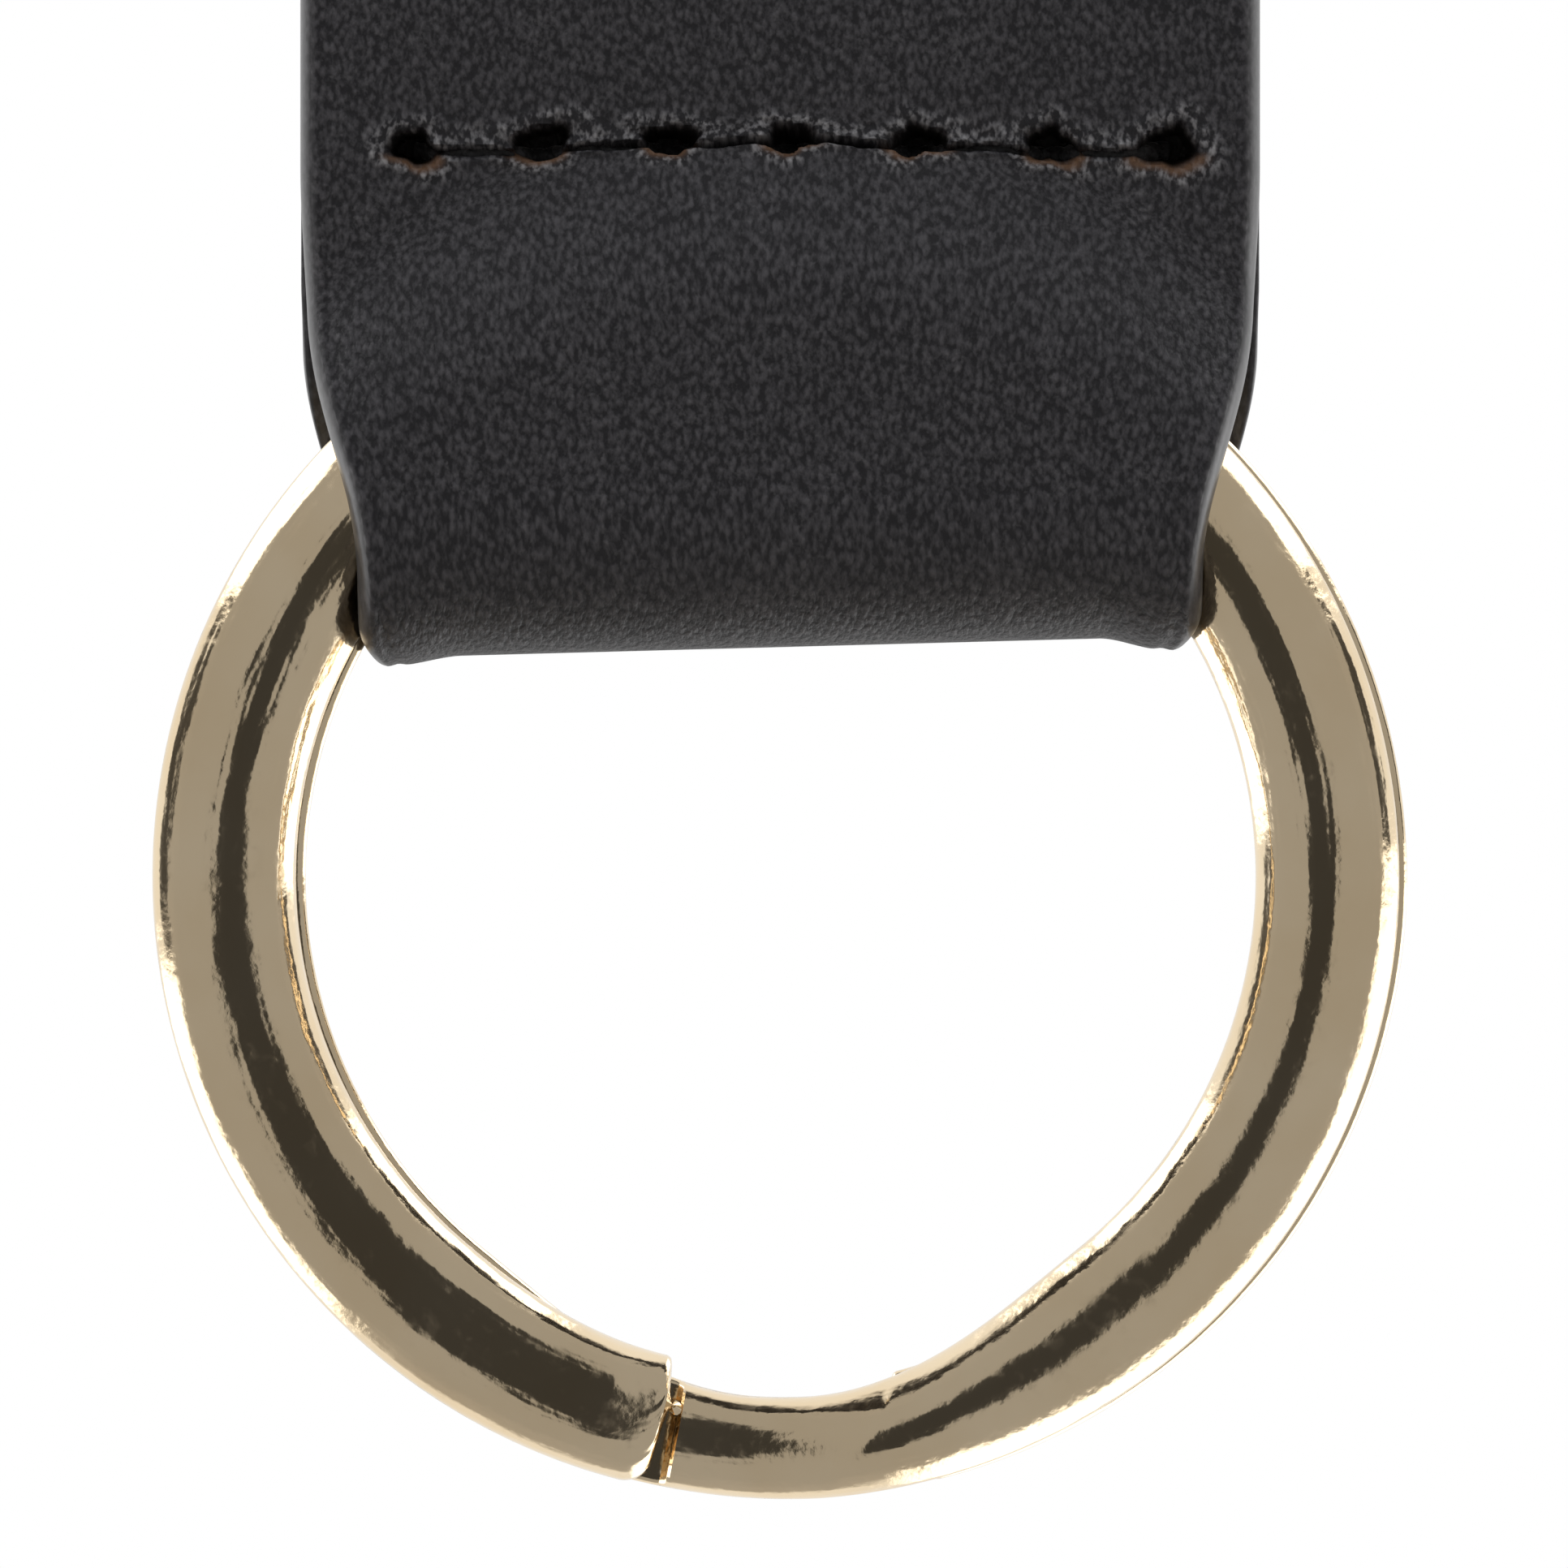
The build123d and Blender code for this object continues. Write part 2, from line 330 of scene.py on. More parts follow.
def wire_rows():
    """Sections of one wire along its two turns, in the ring's own plane: x, towards the front, y.

    The angle runs from the front turn's cut end, nearly once round, through the crossing at 0,
    and nearly once round again. It is turned to its place round the ring afterwards.
    """
    end = 360 - CUT_ANGLE
    worn = end - 8
    crossing = 24
    fine_end = np.arange(end, worn, -0.2)
    plain = np.arange(worn, crossing, -1.0)
    half = np.concatenate([fine_end, plain, np.arange(crossing, 0, -0.3)])
    angles = np.concatenate([half, [0.0], -half[::-1]])
    share = np.cos(np.linspace(0, pi, 33))[None, :]  # 1 at the outer edge of the wire, -1 at the inner
    angle = angles[:, None]
    to_end = (end - np.abs(angle)) * radians(1) * (RING_OUTER + RING_INNER) / 2

    flatter = eased((np.abs(angle) - FLATTER_FROM) / FLATTER_OVER)
    power = ROUND_DOME + (FLAT_DOME - ROUND_DOME) * flatter
    shifted = share + CROWN_SHIFT * (1 - share**2)
    dome = (1 - np.abs(shifted) ** power) ** (1 / power)
    from_middle = np.abs(share) * WIRE_WIDTH / 2
    corner = rounding(WIRE_WIDTH / 2 - from_middle, FLAT_CORNER)
    wear = END_SLOPE * np.clip(1 - to_end / END_REACH, 0, 1) ** 1.15
    crown = TURN_GAP / 2 + WIRE_FLANK + (TURN_HEIGHT - WIRE_FLANK - wear) * dome
    flat = TURN_GAP / 2 + corner + 0 * angle

    bend = RIDGE - RIDGE_SLANT * share
    into_bend = np.clip((bend - angle) / (bend + CUT_ANGLE - 1), 0, 1)
    drop = 1 - (1 - into_bend) ** 2.2
    pinched = PINCH * dome * eased((CUT_ANGLE - 0.2 - np.abs(angle)) / 0.9)
    worn_bend = 1 - RIDGE_WORN * np.exp(-np.clip(angle - bend, 0, None) / RIDGE_REGAINS)
    front = (1 - drop) * crown * worn_bend + drop * (pinched - flat)
    back = (1 - drop) * (flat - pinched) - drop * crown
    neck = NECK * eased(1.08 - np.abs(angle) / NECK_REACH)
    sprung = np.where(angle > 0, FRONT_END_SPRUNG, BACK_END_SPRUNG) * eased(1 - to_end / SPRUNG_REACH)
    inner = RING_INNER + neck + sprung + rounding(to_end, INNER_CORNER)
    outer = RING_OUTER - rounding(to_end, OUTER_CORNER)
    radius = inner + (outer - inner) * (1 + share) / 2
    shift = BACK_TURN_SHIFT * (drop.mean(axis=1, keepdims=True) - 0.5)

    turn = np.radians(angle)
    x, y = radius * np.cos(turn), radius * np.sin(turn)
    front_side = np.stack([x, front, y], axis=-1)
    back_side = np.stack([x, back, y], axis=-1)
    return np.concatenate([front_side, back_side[:, ::-1]], axis=1), shift


def bevelled_ends(rows):
    """Adds the sections at each end that round the edge of the cut face."""
    ends = []
    for last, neighbour in ((0, 1), (-1, -2)):
        section = rows[last]
        ahead = section - rows[neighbour]
        ahead /= np.linalg.norm(ahead, axis=1, keepdims=True)
        inward = section.mean(axis=0) - section
        inward /= np.linalg.norm(inward, axis=1, keepdims=True)
        ends.append([section + CUT_BEVEL * (ahead * a + inward * b) for a, b in BEVEL_STEPS])
    return np.concatenate([ends[0][::-1], rows, ends[1]])


def ring_skin(name, centre, crossing):
    """The wire's mesh, turned so that its crossing is at that angle from +X towards +Z."""
    rows, shift = wire_rows()
    rows = bevelled_ends(rows)
    added = len(BEVEL_STEPS)
    shift = np.pad(shift, ((added, added), (0, 0)), mode="edge")
    turn = radians(crossing)
    x, y = rows[..., 0], rows[..., 2]
    placed = [x * cos(turn) - y * sin(turn) + shift, -rows[..., 1], x * sin(turn) + y * cos(turn)]
    ring = skin(name, np.stack(placed, axis=-1) + np.array(centre) / MM)
    middles = rows.mean(axis=1)
    along = np.concatenate([[0], np.cumsum(np.linalg.norm(np.diff(middles, axis=0), axis=1))])
    around = np.linalg.norm(rows - np.roll(rows, 1, axis=1), axis=-1).cumsum(axis=1)
    wire_place = np.stack([along[:, None] + 0 * around, around, 0 * around], axis=-1)
    place = ring.data.attributes.new("wire_place", "FLOAT_VECTOR", "POINT")
    place.data.foreach_set("vector", wire_place.reshape(-1).astype(np.float32))
    return ring


def noise_node(tree, source, scale, detail=2.0, roughness=0.5):
    """A Noise Texture over the coordinates from a (node, socket) pair."""
    node = tree.nodes.new("ShaderNodeTexNoise")
    node.inputs["Scale"].default_value = scale
    node.inputs["Detail"].default_value = detail
    node.inputs["Roughness"].default_value = roughness
    tree.links.new(source[0].outputs[source[1]], node.inputs["Vector"])
    return node


def bump_node(tree, source, strength, distance):
    """A Bump node over the height from a (node, socket) pair."""
    node = tree.nodes.new("ShaderNodeBump")
    node.inputs["Strength"].default_value = strength
    node.inputs["Distance"].default_value = distance
    tree.links.new(source[0].outputs[source[1]], node.inputs["Height"])
    return node


def new_material(name):
    """A new material, with its node tree and its Principled shader."""
    material = bpy.data.materials.new(name)
    material.use_nodes = True
    return material, material.node_tree, material.node_tree.nodes["Principled BSDF"]


def speckle_group():
    """Node group: small spots scattered in patches. Coverage is 0 for none and 1 for everywhere."""
    group = bpy.data.node_groups.new("speckle", "ShaderNodeTree")
    group.interface.new_socket(name="Vector", in_out="INPUT", socket_type="NodeSocketVector")
    group.interface.new_socket(name="Scale", in_out="INPUT", socket_type="NodeSocketFloat")
    group.interface.new_socket(name="Coverage", in_out="INPUT", socket_type="NodeSocketFloat")
    group.interface.new_socket(name="Mask", in_out="OUTPUT", socket_type="NodeSocketFloat")
    entry = group.nodes.new("NodeGroupInput")
    result = group.nodes.new("NodeGroupOutput")
    spots = noise_node(group, (entry, "Vector"), 1.0)
    patches = noise_node(group, (entry, "Vector"), 1.0)
    patch_scale = math_node(group, "MULTIPLY", (entry, "Scale"), 0.12)
    level = math_node(group, "MULTIPLY_ADD", (patches, "Fac"), 0.55, (spots, "Fac"))
    over = math_node(group, "MULTIPLY_ADD", (entry, "Coverage"), 0.70, (level, 0))
    mask = math_node(group, "MULTIPLY_ADD", (over, 0), 8.0, -9.6, clamp=True)
    wire_up(
        group,
        (entry, "Scale", spots, "Scale"),
        (patch_scale, 0, patches, "Scale"),
        (mask, 0, result, "Mask"),
    )
    return group


def speckle_node(tree, source, scale, coverage):
    """The speckle group over a (node, socket) pair's coordinates, with its own scale and coverage."""
    node = tree.nodes.new("ShaderNodeGroup")
    node.node_tree = speckle
    node.inputs["Scale"].default_value = scale
    node.inputs["Coverage"].default_value = coverage
    tree.links.new(source[0].outputs[source[1]], node.inputs["Vector"])
    return node


def polished_brass():
    """Pale brass plating: wavy from the press, with drawn streaks along the wire and dull specks."""
    material, tree, shader = new_material("ring_metal")
    shader.inputs["Metallic"].default_value = 1.0
    place = tree.nodes.new("ShaderNodeTexCoord")
    waves = noise_node(tree, (place, "Object"), 380.0, detail=4.0, roughness=0.47)
    marks = noise_node(tree, (place, "Object"), 6500.0)
    tarnish = noise_node(tree, (place, "Object"), 260.0, detail=4.0)
    worked = noise_node(tree, (place, "Object"), 75.0)
    wire_place = tree.nodes.new("ShaderNodeAttribute")
    wire_place.attribute_name = "wire_place"
    drawn = tree.nodes.new("ShaderNodeMapping")
    drawn.inputs["Scale"].default_value = (0.16, 1.5, 1.0)
    streaks = noise_node(tree, (drawn, "Vector"), 1.0)
    streaky = ramp_node(tree, (worked, "Fac"), [(0.42, 0.08), (0.60, 0.70)])
    streak_height = math_node(tree, "MULTIPLY", (streaks, "Fac"), (streaky, "Color"))
    height = math_node(tree, "MULTIPLY_ADD", (marks, "Fac"), 0.038, (waves, "Fac"))
    relief = math_node(tree, "ADD", (height, 0), (streak_height, 0))
    colour = ramp_node(tree, (tarnish, "Fac"), [(0.35, (0.90, 0.72, 0.475)), (0.65, (0.95, 0.78, 0.54))])
    dull = speckle_node(tree, (place, "Object"), 2600.0, 0.48)
    roughness = math_node(tree, "MULTIPLY_ADD", (tarnish, "Fac"), 0.08, 0.07)
    dulled = math_node(tree, "MULTIPLY_ADD", (dull, "Mask"), 0.10, (roughness, 0))
    bump = bump_node(tree, (relief, 0), 1.0, 0.00012)
    wire_up(
        tree,
        (wire_place, "Vector", drawn, "Vector"),
        (colour, "Color", shader, "Base Color"),
        (dulled, 0, shader, "Roughness"),
        (bump, "Normal", shader, "Normal"),
    )
    return material


speckle = speckle_group()
ring_metal = polished_brass()
for body, centre, crossing in (
    ("upper_ring", upper_ring_centre, UPPER_CROSSING),
    ("lower_ring", lower_ring_centre, LOWER_CROSSING),
):
    ring = ring_skin(f"{body}_wire", centre, crossing)
    ring.data.materials.append(ring_metal)
    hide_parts(body)
    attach(ring, body)

# ------------------------------------------------------------------ leather strap
# One strip of black bridle leather, dyed through, with a fine printed grain and painted edges.
# Its ends go through the rings and lie along its back, so it is two plies thick. It has to draw
# in to fit the round eye: it drapes over the wire, and its corners press against the wire.
face_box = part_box("lower_face_ply")
loop_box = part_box("lower_loop")
HALF_WIDTH = face_box[1].x / MM
PLY = -face_box[0].y / MM
SPACING = (upper_ring_centre.z - lower_ring_centre.z) / MM
COLUMNS = 280  # points across the face of the strap
FOLD_STEP = 0.2  # length between sections round the fold
POCKET_STEP = 0.25  # and where the strap opens round the wire
STITCH_STEP = 0.09  # and where stitches mark it
EDGE = 0.48  # how far in from the side the painted edge begins to round
EDGE_LINE = 0.66  # how far in from the side a fine line is pressed along the strap
LINE_DEPTH = 0.055
LINE_HALF = 0.16  # half its width
EDGE_SQUARE = 0.40  # height of the edge that stays upright
INNER_EDGE = 0.14  # rounding where the two plies meet
POCKET_CLOSES = 19.8  # distance from the ring's centre at which the plies part
POCKET_HALF = RING_THICKNESS / 2 + 0.20  # half the gap between the plies where the wire lies
POCKET_SLOPE = 0.60  # how steeply they part
PART_BEND = 1.6  # length over which the plies turn out from each other
WIRE_BEND = 2.2  # length over which they turn back to upright over the wire
FOLD_BOTTOM = (loop_box[0].z - lower_ring_centre.z) / MM + 0.10  # leaves room for its lowest corner
FOLD_RADIUS = POCKET_HALF + PLY / 2
FOLD_CENTRE = FOLD_BOTTOM + PLY + POCKET_HALF
DRAWN_IN = 1.55  # how much narrower each side is at the fold
DRAWN_EARLY = 0.20  # the part of that which the front ply takes before it lies over the wire
ROUNDED_BOTTOM = 0.32  # how much narrower again each side is underneath
FLARE_FROM = 8.3  # from the strap's middle to where the fold's lowest line turns downwards
FLARE_OVER = 1.9  # the length over which it does
SQUEEZED = 1.20  # how much the wire thins the leather at the corners of the fold
SQUEEZE_FROM = 8.4  # from the strap's middle to where that begins
SQUEEZE_OVER = 2.1  # the length over which it grows
END_LENGTH = 36.0  # from the ring's centre to where an end is joined to the middle of the strap
STRAIGHT = END_LENGTH - FOLD_CENTRE
FOLD_LENGTH = pi * FOLD_RADIUS
END_STRIP = 2 * STRAIGHT + FOLD_LENGTH
STITCH_ABOVE_RING = 18.97
HOLE_COUNT = 7
HOLE_PITCH = 3.28
HOLE_DEPTH = 1.5
CREASE_DEPTH = 0.50  # of the line that the stitches lie in, where they pull hardest
ROW_OFFSET = 0.39  # the row sits that far to the right of the strap's middle
ROW_REACH = 2.2  # the stitches mark the leather this far from their line
FRONT_BITE = 1.0  # how hard a stitch pulls in, on the face and on the back
BACK_BITE = 0.75
FRONT_CREASE = 0.13  # half-width of the crease that it lies in, on the face and on the back
BACK_CREASE = 0.24


def bell(value):
    """1 at 0, falling off smoothly on both sides."""
    return np.exp(-(value**2))


def parting(distance):
    """Half the gap between the plies, at that distance from the ring's centre."""
    inward = POCKET_CLOSES - distance
    reach = POCKET_HALF / POCKET_SLOPE + (PART_BEND + WIRE_BEND) / 2
    opening = np.clip(inward, 0, PART_BEND) ** 2 / (2 * PART_BEND)
    opening += np.clip(inward - PART_BEND, 0, reach - PART_BEND - WIRE_BEND)
    closing = np.clip(inward - (reach - WIRE_BEND), 0, WIRE_BEND)
    opening += closing - closing**2 / (2 * WIRE_BEND)
    return POCKET_SLOPE * opening


def end_height(along):
    """Height above the ring's centre on an end, below which the strip goes round the fold."""
    return np.abs(along - END_STRIP / 2) - FOLD_LENGTH / 2 + FOLD_CENTRE


def fold_turn(along):
    """How far round the fold the strip has gone: 0 in front, a quarter turn below, a half behind."""
    return np.clip((along - STRAIGHT) / FOLD_RADIUS, 0, pi)


def narrowed(height, start, length):
    """Share of a narrowing that begins at a height above the ring's centre and takes that length."""
    return eased((start - height) / length)


def end_half_width(along):
    """Half the strip's width on an end, with rounded corners at the bottom of the fold."""
    turn = fold_turn(along)
    under = np.sin(turn)
    straight = np.clip(end_height(along) - FOLD_CENTRE, 0, None)
    height = FOLD_CENTRE - FOLD_RADIUS * under + straight
    front = DRAWN_EARLY * narrowed(height, 18.5, 5)
    front = front + (DRAWN_IN - DRAWN_EARLY) * narrowed(height, 14.6, 6.8)
    behind = DRAWN_IN * narrowed(height, 13.8, 7.3)
    width = HALF_WIDTH - front + (front - behind) * eased(turn / pi)
    return width - ROUNDED_BOTTOM * np.clip((under - 0.86) / 0.14, 0, 1) ** 2


def end_middle(x, along, tilt, flare):
    """The leather's middle surface on an end, from its front top round the fold to its back top.

    The fold's lowest line is tilted, and flares downwards at its left and right corners.
    """
    turn = fold_turn(along)
    above_fold = np.clip(end_height(along) - FOLD_CENTRE, 0, None)
    z = FOLD_CENTRE + above_fold
    away = parting(np.sqrt(x**2 + z**2)) + PLY / 2
    corner = eased((np.abs(x) - FLARE_FROM) / FLARE_OVER)
    depth = FOLD_RADIUS - tilt * x + np.where(x < 0, flare[0], flare[1]) * corner
    y = -away * np.cos(turn)
    z = z - depth * np.sin(turn)
    return np.stack([x + 0 * z, y, z], axis=-1)


def end_squeeze(x, along):
    """How much the wire thins the leather from inside, at the two corners of the fold."""
    beside_wire = np.clip((np.sin(fold_turn(along)) - 0.45) / 0.55, 0, 1)
    return SQUEEZED * eased((np.abs(x) - SQUEEZE_FROM) / SQUEEZE_OVER) * beside_wire


def across_strip(columns):
    """One closed loop round the strip: (share of its flat half-width, inset from its side, height).

    A share of 2 or -2 stands for the right or left side, where the inset alone gives the place.
    """
    curve = np.linspace(pi / 2, 0, 10)[1:]
    tight = np.linspace(0, -pi / 2, 5)
    rise = PLY - INNER_EDGE - EDGE_SQUARE
    side = [(EDGE * (1 - cos(a)), INNER_EDGE + EDGE_SQUARE + rise * sin(a)) for a in curve]
    side += [(INNER_EDGE * (1 - cos(a)), INNER_EDGE * (1 + sin(a))) for a in tight]
    loop = [(share, EDGE, PLY) for share in np.linspace(-1, 1, columns)]
    loop += [(2, inset, height) for inset, height in side]
    loop += [(share, INNER_EDGE, 0.0) for share in np.linspace(1, -1, 41)[1:-1]]
    loop += [(-2, inset, height) for inset, height in reversed(side)]
    return np.array(loop)


class StitchRow:
    """Where the needle went through the leather, and what that did to one face of it."""

    def __init__(self, seed, height, bite, crease_half):
        random = np.random.default_rng(seed)  # the awl wanders, and no two holes tear alike
        self.height = height
        self.x = ROW_OFFSET + (np.arange(HOLE_COUNT) - (HOLE_COUNT - 1) / 2) * HOLE_PITCH
        self.x = self.x + random.uniform(-0.12, 0.12, HOLE_COUNT)
        self.z = height + random.uniform(-0.05, 0.07, HOLE_COUNT)
        self.wide = random.uniform(0.60, 0.86, HOLE_COUNT) * bite
        self.tall = random.uniform(0.48, 0.60, HOLE_COUNT) * bite
        self.skew = random.uniform(-0.40, 0.40, HOLE_COUNT)
        self.phase = random.uniform(0, 2 * pi, 8)
        self.depth = CREASE_DEPTH * bite
        self.crease_half = crease_half

    def crease(self, x):
        """Height of the line that the stitches lie on."""
        slow = 0.05 * np.sin(1.3 * x + self.phase[0])
        return self.height - 0.16 + slow + 0.04 * np.sin(2.9 * x + self.phase[1])

    def reach(self, hole, x, z):
        """Distance from a hole, as a share of its ragged outline."""
        dx, dz = x - self.x[hole], z - self.z[hole]
        around = np.arctan2(dz, dx)
        ragged = 1 + 0.12 * np.sin(3 * around + self.phase[2] + hole) + 0.07 * np.sin(5 * around + 2 * hole)
        return ragged * np.hypot((dx + self.skew[hole] * dz) / self.wide[hole], dz / self.tall[hole])

    def sink(self, x, z):
        """How deep the face lies below its smooth surface, in millimetres."""
        inside = eased((x - self.x[0]) / 0.5) * eased((self.x[-1] - x) / 0.5)
        line = np.abs(z - self.crease(x)) / self.crease_half
        hollow = 0.09 * bell((z - self.height) / 1.4) * eased((11.4 - np.abs(x - ROW_OFFSET)) / 1.2)
        total = hollow + inside * self.depth * (1 - eased((line - 0.2) / 0.95))
        total = total - inside * 0.05 * bell((line - 1.8) / 0.5)
        for hole in range(HOLE_COUNT):
            reach = self.reach(hole, x, z)
            lip = 0.07 * bell((reach - 1.45) / 0.3)
            total = total + HOLE_DEPTH * (1 - eased((reach - 0.55) / 0.45)) - lip
        coarse = np.sin(7.1 * x + 3.3 * z + self.phase[3]) * np.sin(5.3 * z - 2.2 * x + self.phase[4])
        fine = 0.7 * np.sin(13 * x - 9.1 * z + self.phase[5])
        crumple = coarse + fine * np.sin(10.3 * z + 4.2 * x + self.phase[6])
        near = bell((z - self.height - 0.25) / 0.75)
        return np.minimum(total + 0.055 * near * crumple * inside, PLY - 0.25)

    def raw_rim(self, x, z):
        """The undyed lower rim of each hole, from 0 to 1."""
        total = 0 * x
        for hole in range(HOLE_COUNT):
            below = eased((self.z[hole] - z - 0.10) / 0.25)
            total = np.maximum(total, below * bell((self.reach(hole, x, z) - 1.02) / 0.22))
        return total

    def scuff(self, x, z):
        """Where the needle and the pull of the thread rubbed the dye, from 0 to 1."""
        inside = eased((x - self.x[0] + 1.4) / 0.5) * eased((self.x[-1] + 1.4 - x) / 0.5)
        total = 0.75 * inside * bell((z - self.crease(x) - 0.40) / 0.28)
        for hole in range(HOLE_COUNT):
            total = np.maximum(total, bell((self.reach(hole, x, z) - 1.35) / 0.32))
        return total


def leather_rows(alongs, middle_at, half_width_at, stitched, worn_end=None, squeeze=None):
    """Sections of the strip carried along its middle surface, with its stitches sunk into the face.

    Each stitched row comes with a function that turns a place along the strip into a height on the row.
    """
    share, inset, height = (column[None] for column in across_strip(COLUMNS).T)
    along = alongs[:, None] + 0 * share
    half_width = half_width_at(alongs)[:, None]
    x = np.where(np.abs(share) > 1, np.sign(share) * (half_width - inset), share * (half_width - inset))
    step = 0.02
    across = middle_at(x + step, along) - middle_at(x - step, along)
    ahead = middle_at(x, along + step) - middle_at(x, along - step)
    normal = np.cross(ahead, across)
    normal[..., 0] *= 0.3  # the edges stay upright
    normal /= np.linalg.norm(normal, axis=-1, keepdims=True)
    on_face = height > PLY - 1e-6
    sunk = sum(row.sink(x, place(along)) for row, place in stitched)
    if worn_end:
        sunk = sunk + worn_end(along)
    sunk = sunk * on_face
    scuffed = sum(row.scuff(x, place(along)) for row, place in stitched) * on_face
    raw_rim = sum(row.raw_rim(x, place(along)) for row, place in stitched) * on_face
    sunk = sunk + LINE_DEPTH * bell((half_width - np.abs(x) - EDGE_LINE) / LINE_HALF) * on_face
    offset = height - PLY / 2 - sunk
    if squeeze:
        offset = offset + squeeze(x, along) * (1 - height / PLY)
    points = middle_at(x, along) + normal * offset[..., None]
    hide = np.stack([x, along, height + 0 * x], axis=-1)
    edge = np.where(np.abs(share) > 1, eased((EDGE - inset) / (0.4 * EDGE)), 0.0) + 0 * x
    masks = {
        "painted_edge": edge,
        # painted shade: the deeper the face is sunk, at the holes and in the stitches' crease, the darker
        # it is coloured
        "painted_hole_shade": np.clip((sunk - 0.25) / 0.6, 0, 1),
        "scuffed": scuffed,
        "raw_rim": raw_rim,
    }
    return points, hide, masks


def spread(*stretches):
    """Places along the leather: (start, end, spacing) stretches joined end to end."""
    parts = []
    for start, end, step in stretches:
        count = max(2, int(round(abs(end - start) / step)) + 1)
        parts.append(np.linspace(start, end, count)[:-1])
    return np.concatenate([*parts, [stretches[-1][1]]])


def row_stretch(at):
    """The stretch that a row of stitches marks, as (start, end, spacing)."""
    return at - ROW_REACH, at + ROW_REACH, STITCH_STEP


def leather_piece(name, points, hide, masks):
    """A leather mesh that carries its place on the flat hide, and masks of its edges and holes."""
    piece = skin(name, points, sharp=50.0)
    place = piece.data.attributes.new("hide_place", "FLOAT_VECTOR", "POINT")
    place.data.foreach_set("vector", hide.reshape(-1).astype(np.float32))
    for mask_name, mask in masks.items():
        attribute = piece.data.attributes.new(mask_name, "FLOAT", "POINT")
        attribute.data.foreach_set("value", mask.reshape(-1).astype(np.float32))
    piece.data.materials.append(strap_leather)
    return piece


def colour_mix(tree, share, colour, other):
    """Goes from a (node, socket) pair's colour to the other colour by the share from a second pair."""
    node = tree.nodes.new("ShaderNodeMix")
    node.data_type = "RGBA"
    node.inputs["B"].default_value = (*other, 1.0)
    wire_up(tree, (*share, node, "Factor"), (*colour, node, "A"))
    return node


def black_leather():
    """Black bridle leather: fine slanting grain on its faces and smooth glossy paint on its edges, with
    painted shade in its holes and crease, a painted sheen lightening its edges and painted glints in its
    grain.
    """
    material, tree, shader = new_material("strap_leather")
    shader.inputs["Specular IOR Level"].default_value = 0.28
    place, painted, hole_shade, scuffed, raw_rim = (tree.nodes.new("ShaderNodeAttribute") for _ in range(5))
    place.attribute_name = "hide_place"
    painted.attribute_name = "painted_edge"
    hole_shade.attribute_name = "painted_hole_shade"
    scuffed.attribute_name = "scuffed"
    raw_rim.attribute_name = "raw_rim"
    slanted = tree.nodes.new("ShaderNodeMapping")
    slanted.inputs["Rotation"].default_value = (0, 0, radians(28))
    slanted.inputs["Scale"].default_value = (1.25, 0.8, 1.0)
    pebbles = tree.nodes.new("ShaderNodeTexVoronoi")
    pebbles.inputs["Scale"].default_value = 4.2
    creases = noise_node(tree, (slanted, "Vector"), 5.6)
    clouds = noise_node(tree, (place, "Vector"), 0.35, detail=3.0)
    wire_up(tree, (place, "Vector", slanted, "Vector"), (slanted, "Vector", pebbles, "Vector"))
    grain = math_node(tree, "MULTIPLY_ADD", (pebbles, "Distance"), -0.45, (creases, "Fac"))
    cloudy = math_node(tree, "MULTIPLY_ADD", (clouds, "Fac"), 0.10, (grain, 0))
    face = math_node(tree, "SUBTRACT", 1.0, (painted, "Fac"))
    relief = math_node(tree, "MULTIPLY", (grain, 0), (face, 0))
    bump = bump_node(tree, (relief, 0), 0.7, 0.0001)
    # The grain's lighter flecks are partly the leather's own tone and partly painted highlight: they stand
    # in for glints on the grain, also where no light falls.
    grain_tone_and_glints = ramp_node(tree, (cloudy, 0), [(0.19, (0.015, 0.0148, 0.017)), (0.59, (0.057, 0.056, 0.062))])
    dust = speckle_node(tree, (place, "Vector"), 6.0, 0.42)
    rub = math_node(tree, "SUBTRACT", (grain, 0), 0.22, clamp=True)
    rubbed = math_node(tree, "MULTIPLY", (rub, 0), (scuffed, "Fac"))
    rubbed_share = math_node(tree, "MULTIPLY", (rubbed, 0), 3.0, clamp=True)
    specks = math_node(tree, "MULTIPLY_ADD", (dust, "Mask"), 0.10, (rubbed_share, 0), clamp=True)
    # Dust and rubbed dye lighten the face in specks. The painted edges are also coloured lighter grey, a
    # painted reflection of the bright tent on their gloss. Both go into the mix named worn.
    specks_and_edge_sheen = math_node(tree, "MULTIPLY_ADD", (painted, "Fac"), 0.14, (specks, 0), clamp=True)
    worn = colour_mix(tree, (specks_and_edge_sheen, 0), (grain_tone_and_glints, "Color"), (0.20, 0.20, 0.21))
    # painted shade: the holes and the stitches' crease are coloured near black, where shade falls
    hole_shaded = colour_mix(tree, (hole_shade, "Fac"), (worn, "Result"), (0.012, 0.010, 0.009))
    raw_share = math_node(tree, "MULTIPLY", (raw_rim, "Fac"), 0.75)
    raw = colour_mix(tree, (raw_share, 0), (hole_shaded, "Result"), (0.115, 0.062, 0.034))
    roughness = tree.nodes.new("ShaderNodeMapRange")
    roughness.inputs["To Min"].default_value = 0.50
    roughness.inputs["To Max"].default_value = 0.30
    wire_up(
        tree,
        (raw, "Result", shader, "Base Color"),
        (painted, "Fac", roughness, "Value"),
        (roughness, "Result", shader, "Roughness"),
        (bump, "Normal", shader, "Normal"),
    )
    return material


strap_leather = black_leather()
flex_at = {joint["name"]: joint["pos_m"][2] for joint in frame["joints"]}
FLEX_START = 20.9  # from a ring's centre, towards the strap's middle: where a bend past the flex line would begin; the start height worked out from it is not used
ring_row_at = END_LENGTH - STITCH_ABOVE_RING
back_row_at = END_STRIP - ring_row_at
ring_rows = {}

